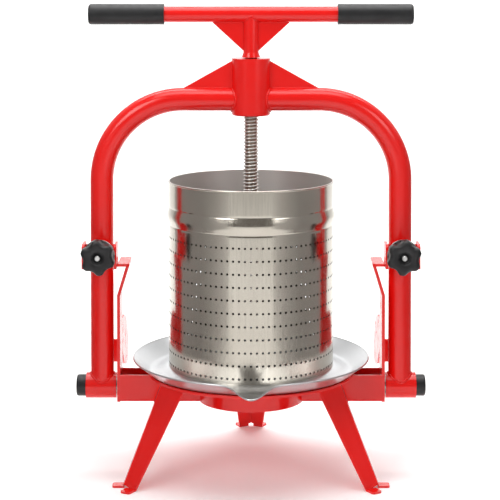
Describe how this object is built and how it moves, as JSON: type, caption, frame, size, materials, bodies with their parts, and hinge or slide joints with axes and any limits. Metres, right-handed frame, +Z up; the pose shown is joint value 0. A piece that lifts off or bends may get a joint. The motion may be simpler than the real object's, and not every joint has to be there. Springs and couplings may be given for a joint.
{
  "type": "basket wine press",
  "caption": "Tripod basket press with a tube arch, T-handled press screw, perforated steel basket, juice tray with a pouring lip and star-knob clamps.",
  "frame": {"origin": "on the floor under the screw axis", "axes": "+Z up along the screw, +X to the user's right, front with the pouring lip is -Y"},
  "size_m": [0.51, 0.4273, 0.679],
  "materials": {
    "red_paint": "gloss red enamel over welded steel",
    "basket_steel": "bright rolled stainless sheet, perforated",
    "tray_steel": "spun stainless sheet, satin",
    "foot_steel": "stainless pressing plate and its cup",
    "screw_steel": "bright turned steel thread",
    "zinc_steel": "zinc-plated fasteners",
    "bronze": "cast bronze bearing metal",
    "grip_rubber": "black moulded rubber, fine satin texture",
    "knob_plastic": "black moulded plastic, slightly satin"
  },
  "bodies": {
    "frame": {"front_left_leg": "red_paint", "front_right_leg": "red_paint", "rear_leg": "red_paint", "base_plate": "red_paint", "front_base_ring": "red_paint", "rear_base_ring": "red_paint", "cross_channel": "red_paint", "screw_hub": "red_paint", "left_bracket": "red_paint", "left_saddle": "red_paint", "left_pivot_sleeve": "red_paint", "left_arch_tube": "red_paint", "left_hub_gusset": "red_paint", "left_pivot_bushes": "bronze", "left_pivot_washers": "zinc_steel", "left_pivot_bolt": "zinc_steel", "left_pivot_nut": "zinc_steel", "left_clamp_nut": "zinc_steel", "left_pivot_cap": "knob_plastic", "right_bracket": "red_paint", "right_saddle": "red_paint", "right_pivot_sleeve": "red_paint", "right_arch_tube": "red_paint", "right_hub_gusset": "red_paint", "right_pivot_bushes": "bronze", "right_pivot_washers": "zinc_steel", "right_pivot_bolt": "zinc_steel", "right_pivot_nut": "zinc_steel", "right_clamp_nut": "zinc_steel", "right_pivot_cap": "knob_plastic", "screw_nut": "bronze", "juice_tray": "tray_steel"},
    "press_foot": {"press_plate": "foot_steel", "press_plate_ribs": "foot_steel", "swivel_cup": "foot_steel", "thrust_washer": "bronze", "swivel_pins": "zinc_steel"},
    "screw": {"press_screw": "screw_steel", "handle_stem": "red_paint", "handle_bar": "red_paint", "left_handle_gusset": "red_paint", "right_handle_gusset": "red_paint", "left_handle_grip": "grip_rubber", "right_handle_grip": "grip_rubber"},
    "basket": {"basket": "basket_steel"},
    "left_washer": {"left_knob_washer": "zinc_steel"},
    "left_knob": {"left_star_knob": "knob_plastic", "left_knob_stud": "zinc_steel"},
    "right_washer": {"right_knob_washer": "zinc_steel"},
    "right_knob": {"right_star_knob": "knob_plastic", "right_knob_stud": "zinc_steel"}
  },
  "joints": [
    {"name": "plate_travel", "type": "slide", "parent": "frame", "child": "press_foot", "axis": [0, 0, 1], "range_m": [0, 0.3]},
    {"name": "screw_turn", "type": "hinge", "parent": "press_foot", "child": "screw", "pos_m": [0, 0, 0.4], "axis": [0, 0, 1], "range_deg": [0, 21601]},
    {"name": "basket_lift", "type": "slide", "parent": "frame", "child": "basket", "axis": [0, 0, 1], "range_m": [0, 0.09]},
    {"name": "left_knob_travel", "type": "slide", "parent": "frame", "child": "left_washer", "axis": [0, -1, 0], "range_m": [0, 0.01]},
    {"name": "left_knob_turn", "type": "hinge", "parent": "left_washer", "child": "left_knob", "pos_m": [-0.2178, 0, 0.32], "axis": [0, -1, 0], "range_deg": [0, 2881]},
    {"name": "right_knob_travel", "type": "slide", "parent": "frame", "child": "right_washer", "axis": [0, -1, 0], "range_m": [0, 0.01]},
    {"name": "right_knob_turn", "type": "hinge", "parent": "right_washer", "child": "right_knob", "pos_m": [0.2178, 0, 0.32], "axis": [0, -1, 0], "range_deg": [0, 2881]}
  ],
  "couplings": [
    {"joint": "screw_turn", "follows": "plate_travel", "rad_per_m": 1256.6},
    {"joint": "left_knob_turn", "follows": "left_knob_travel", "rad_per_m": 5026.5},
    {"joint": "right_knob_turn", "follows": "right_knob_travel", "rad_per_m": 5026.5}
  ]
}
